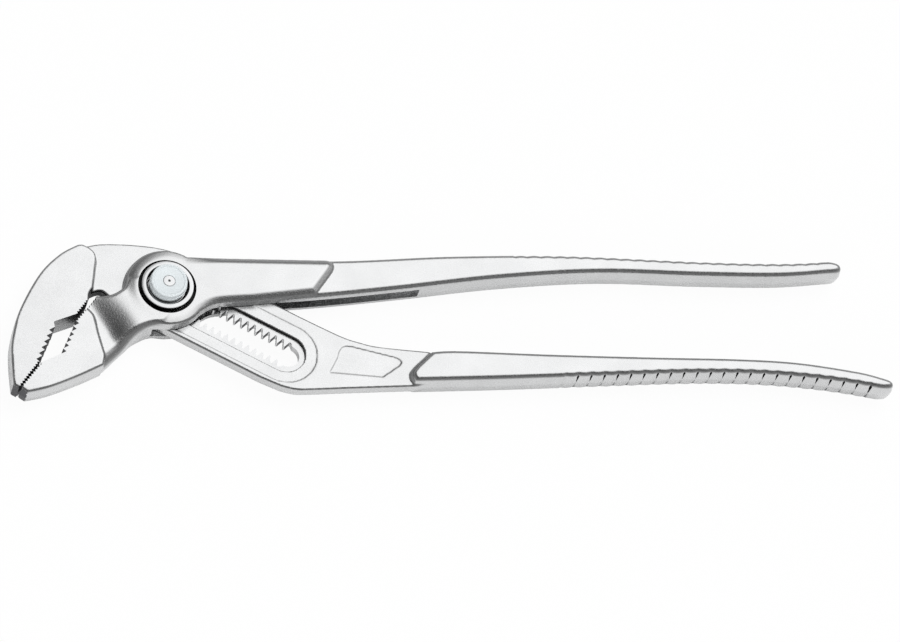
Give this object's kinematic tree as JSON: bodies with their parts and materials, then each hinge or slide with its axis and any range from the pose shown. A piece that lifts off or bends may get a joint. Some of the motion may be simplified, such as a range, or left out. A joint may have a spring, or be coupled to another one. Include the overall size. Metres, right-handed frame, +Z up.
{
  "type": "adjustable slip-joint pliers",
  "caption": "Forged steel slip-joint pliers with a box joint, toothed jaws, a toothed setting slot and a push button that frees the setting.",
  "frame": {"origin": "on the joint's axis, at the rear face that the pliers rest on", "axes": "+X along the handles, away from the jaws; +Z up, out of the button; +Y towards the fork arm's handle"},
  "size_m": [0.3088, 0.0791, 0.0203],
  "materials": {
    "forged_steel": "satin chrome over a blasted forging",
    "bright_steel": "turned and polished",
    "button_plastic": "moulded, slightly glossy",
    "spring_steel": "oiled spring steel"
  },
  "bodies": {
    "fork_arm": {"fork_arm": "forged_steel", "front_bush": "bright_steel", "retaining_ring": "spring_steel"},
    "pivot_core": {"cover_disc": "bright_steel", "return_spring": "spring_steel"},
    "lock_bolt": {"locking_bolt": "bright_steel", "guide_head": "bright_steel", "push_button": "button_plastic"},
    "slotted_arm": {"slotted_arm": "forged_steel"}
  },
  "joints": [
    {"name": "jaw_pivot", "type": "hinge", "parent": "fork_arm", "child": "pivot_core", "pos_m": [0, 0, 0.0088], "axis": [0, 0, -1], "range_deg": [0, 25]},
    {"name": "button_press", "type": "slide", "parent": "pivot_core", "child": "lock_bolt", "axis": [0, 0, -1], "range_m": [0, 0.0022], "stiffness_N_per_m": 2500, "deforming": ["return_spring"]},
    {"name": "jaw_setting", "type": "slide", "parent": "pivot_core", "child": "slotted_arm", "axis": [-0.91, 0.4147, 0], "range_m": [0, 0.0324]}
  ]
}
